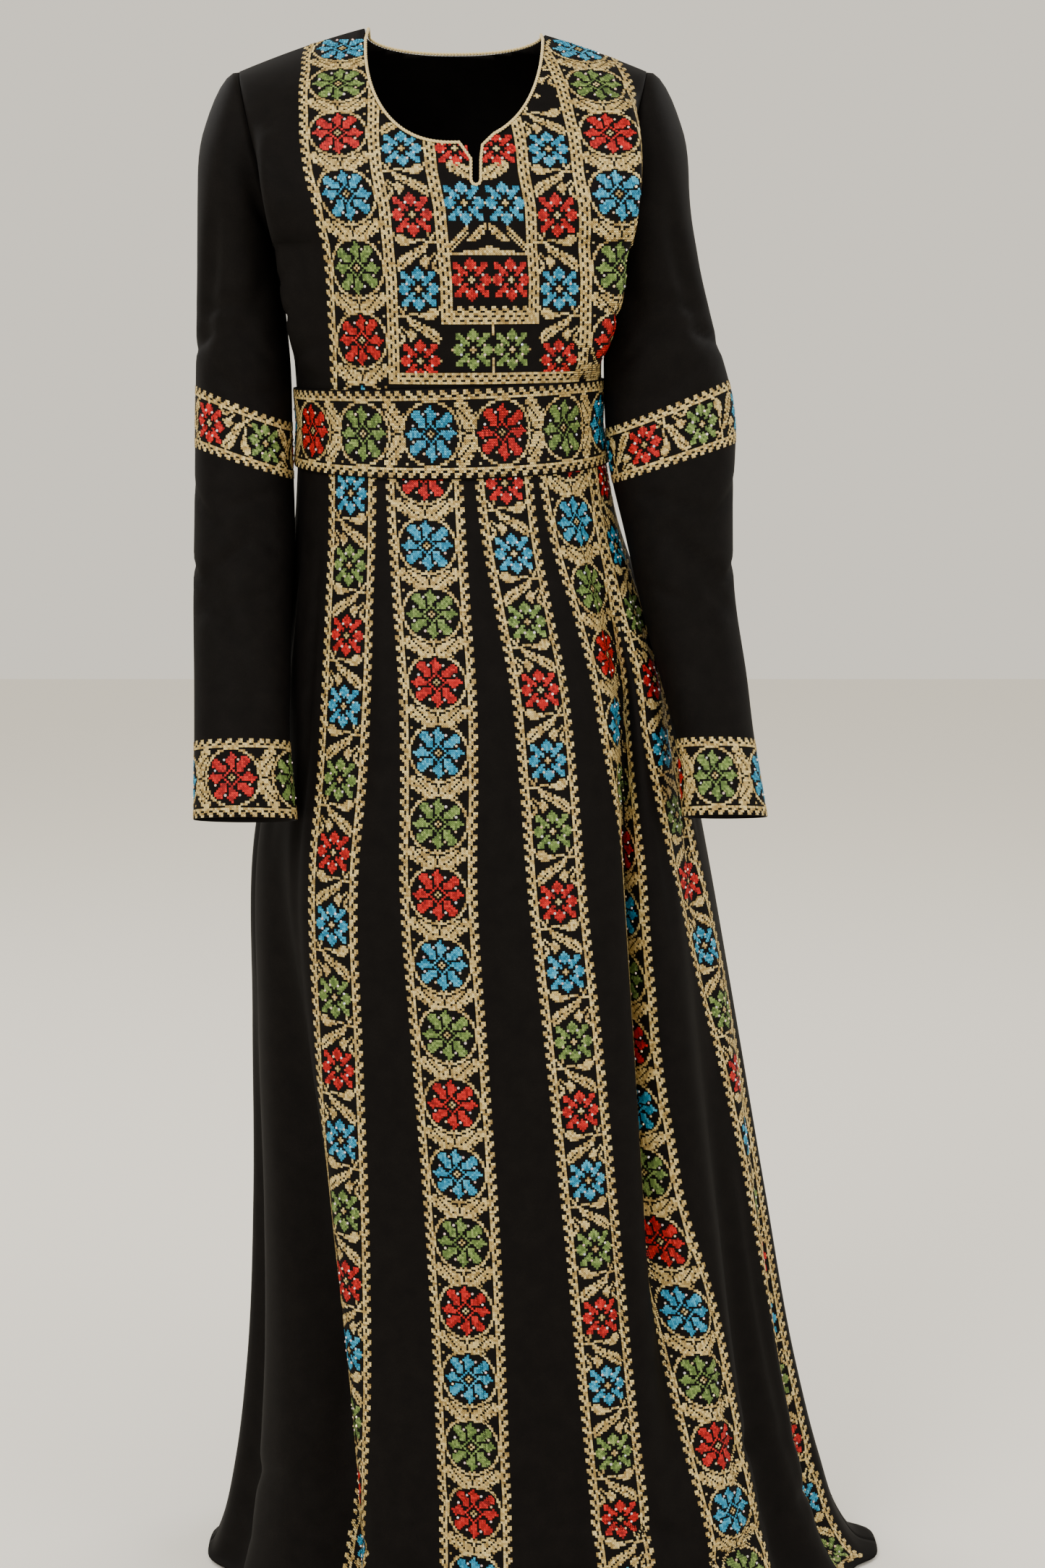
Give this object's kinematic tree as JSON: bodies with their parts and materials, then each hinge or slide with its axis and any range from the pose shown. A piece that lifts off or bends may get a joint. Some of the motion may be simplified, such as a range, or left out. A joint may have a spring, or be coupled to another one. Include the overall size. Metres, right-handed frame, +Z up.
{
  "type": "thobe with belt",
  "caption": "Long-sleeved black dress with a flared floor-length skirt, cross-stitched panels and bands, a belt and a corded slit neck, in its worn shape.",
  "frame": {"origin": "the place where the wearer's shoulders carry the dress: midway between the shoulder tips, 1.45 m above the floor that the hem reaches", "axes": "+Z up, front of the dress towards -Y, the wearer's left towards +X"},
  "size_m": [0.662, 0.5775, 1.4575],
  "materials": {
    "crepe_bodice": "matt black crepe, cross-stitched",
    "crepe_sleeve": "matt black crepe",
    "crepe_skirt": "matt black crepe",
    "stitched_belt": "black cloth under dense gold cross stitch",
    "gold_cord": "satin gold cord",
    "thread_gold": "glossy cotton thread",
    "thread_red": "glossy cotton thread",
    "thread_blue": "glossy cotton thread",
    "thread_green": "glossy cotton thread",
    "rhinestone": "faceted, with a rainbow coat"
  },
  "bodies": {
    "root": {"bodice_front": "crepe_bodice", "bodice_back": "crepe_bodice", "sleeve_left": "crepe_sleeve", "sleeve_right": "crepe_sleeve", "skirt_front": "crepe_skirt", "skirt_back": "crepe_skirt", "belt": "stitched_belt", "neck_piping": "gold_cord"}
  },
  "joints": []
}
